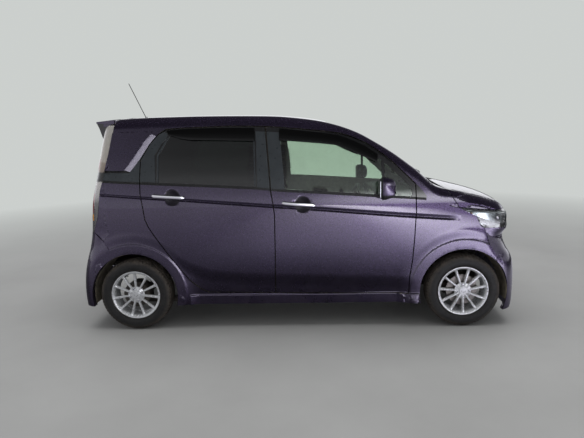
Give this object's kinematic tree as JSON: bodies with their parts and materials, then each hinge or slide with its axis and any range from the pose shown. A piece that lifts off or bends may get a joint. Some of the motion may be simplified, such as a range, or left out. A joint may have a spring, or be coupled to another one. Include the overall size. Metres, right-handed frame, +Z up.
{
  "type": "kei car",
  "caption": "Tall boxy small hatchback with side doors, bonnet, tailgate, steered front wheels, glazed hollow cabin and roof spoiler.",
  "frame": {"origin": "on the ground under the middle of the body", "axes": "+X forward, +Y to the left side of the car, +Z up"},
  "size_m": [3.3959, 1.781, 1.9507],
  "materials": {
    "purple_paint": "gloss",
    "clear_glass": "gloss",
    "dark_glass": "gloss",
    "tyre_rubber": "matte",
    "alloy": "satin",
    "black_plastic": "matte",
    "lamp_clear": "gloss",
    "tail_lens": "gloss",
    "seat_cloth": "matte",
    "under_metal": "matte",
    "chrome_trim": "gloss"
  },
  "bodies": {
    "car": {"aerial": "black_plastic", "body_side_left": "purple_paint", "body_side_right": "purple_paint", "cowl": "black_plastic", "dashboard": "black_plastic", "engine": "under_metal", "fender_left": "purple_paint", "fender_right": "purple_paint", "floor_pan": "purple_paint", "front_bumper": "purple_paint", "front_subframe": "under_metal", "grille": "chrome_trim", "headlamp_left": "lamp_clear", "headlamp_right": "lamp_clear", "rear_axle": "under_metal", "rear_bumper": "purple_paint", "roof": "purple_paint", "seat_front_left": "seat_cloth", "seat_front_right": "seat_cloth", "seat_rear": "seat_cloth", "steering_column": "black_plastic", "tail_lamp_left": "tail_lens", "tail_lamp_right": "tail_lens", "windscreen": "clear_glass"},
    "front_door_right": {"door_front_right": "purple_paint", "window_front_right": "clear_glass", "mirror_right": "purple_paint"},
    "rear_door_right": {"door_rear_right": "purple_paint", "window_rear_right": "dark_glass"},
    "wheel_front_right": {"tyre_front_right": "tyre_rubber", "rim_front_right": "alloy"},
    "wheel_rear_right": {"tyre_rear_right": "tyre_rubber", "rim_rear_right": "alloy"},
    "steering_knuckle_right": {"knuckle_right": "under_metal"},
    "front_door_left": {"door_front_left": "purple_paint", "window_front_left": "clear_glass", "mirror_left": "purple_paint"},
    "rear_door_left": {"door_rear_left": "purple_paint", "window_rear_left": "dark_glass"},
    "wheel_front_left": {"tyre_front_left": "tyre_rubber", "rim_front_left": "alloy"},
    "wheel_rear_left": {"tyre_rear_left": "tyre_rubber", "rim_rear_left": "alloy"},
    "steering_knuckle_left": {"knuckle_left": "under_metal"},
    "tailgate_assembly": {"tailgate": "purple_paint", "window_tailgate": "dark_glass", "spoiler": "purple_paint"},
    "bonnet_panel": {"bonnet": "purple_paint"},
    "steering_wheel_assembly": {"steering_wheel": "black_plastic"}
  },
  "joints": [
    {"name": "front_door_right_hinge", "type": "hinge", "parent": "car", "child": "front_door_right", "pos_m": [0.8475, -0.7325, 0.65], "axis": [0, 0, 1], "range_deg": [0, 65]},
    {"name": "rear_door_right_hinge", "type": "hinge", "parent": "car", "child": "rear_door_right", "pos_m": [-0.1975, -0.7325, 0.65], "axis": [0, 0, 1], "range_deg": [0, 68]},
    {"name": "steering_right", "type": "hinge", "parent": "car", "child": "steering_knuckle_right", "pos_m": [1.2525, -0.618, 0.2785], "axis": [0, 0, 1], "range_deg": [-33, 33]},
    {"name": "wheel_front_right_spin", "type": "hinge", "parent": "steering_knuckle_right", "child": "wheel_front_right", "pos_m": [1.2525, -0.6525, 0.2785], "axis": [0, 1, 0], "continuous": true},
    {"name": "wheel_rear_right_spin", "type": "hinge", "parent": "car", "child": "wheel_rear_right", "pos_m": [-1.2675, -0.6525, 0.2785], "axis": [0, 1, 0], "continuous": true},
    {"name": "front_door_left_hinge", "type": "hinge", "parent": "car", "child": "front_door_left", "pos_m": [0.8475, 0.7325, 0.65], "axis": [0, 0, -1], "range_deg": [0, 65]},
    {"name": "rear_door_left_hinge", "type": "hinge", "parent": "car", "child": "rear_door_left", "pos_m": [-0.1975, 0.7325, 0.65], "axis": [0, 0, -1], "range_deg": [0, 68]},
    {"name": "steering_left", "type": "hinge", "parent": "car", "child": "steering_knuckle_left", "pos_m": [1.2525, 0.618, 0.2785], "axis": [0, 0, 1], "range_deg": [-33, 33]},
    {"name": "wheel_front_left_spin", "type": "hinge", "parent": "steering_knuckle_left", "child": "wheel_front_left", "pos_m": [1.2525, 0.6525, 0.2785], "axis": [0, 1, 0], "continuous": true},
    {"name": "wheel_rear_left_spin", "type": "hinge", "parent": "car", "child": "wheel_rear_left", "pos_m": [-1.2675, 0.6525, 0.2785], "axis": [0, 1, 0], "continuous": true},
    {"name": "steering_wheel_turn", "type": "hinge", "parent": "car", "child": "steering_wheel_assembly", "pos_m": [0.4225, -0.33, 0.905], "axis": [-0.8988, 0, 0.4384], "range_deg": [-495, 495]},
    {"name": "bonnet_hinge", "type": "hinge", "parent": "car", "child": "bonnet_panel", "pos_m": [1.0985, 0, 1.088], "axis": [0, -1, 0], "range_deg": [0, 55]},
    {"name": "tailgate_hinge", "type": "hinge", "parent": "car", "child": "tailgate_assembly", "pos_m": [-1.4035, 0, 1.64], "axis": [0, 1, 0], "range_deg": [0, 78]}
  ],
  "couplings": [
    {"joint": "steering_left", "follows": "steering_right", "ratio": 1},
    {"joint": "steering_wheel_turn", "follows": "steering_right", "ratio": 15}
  ]
}
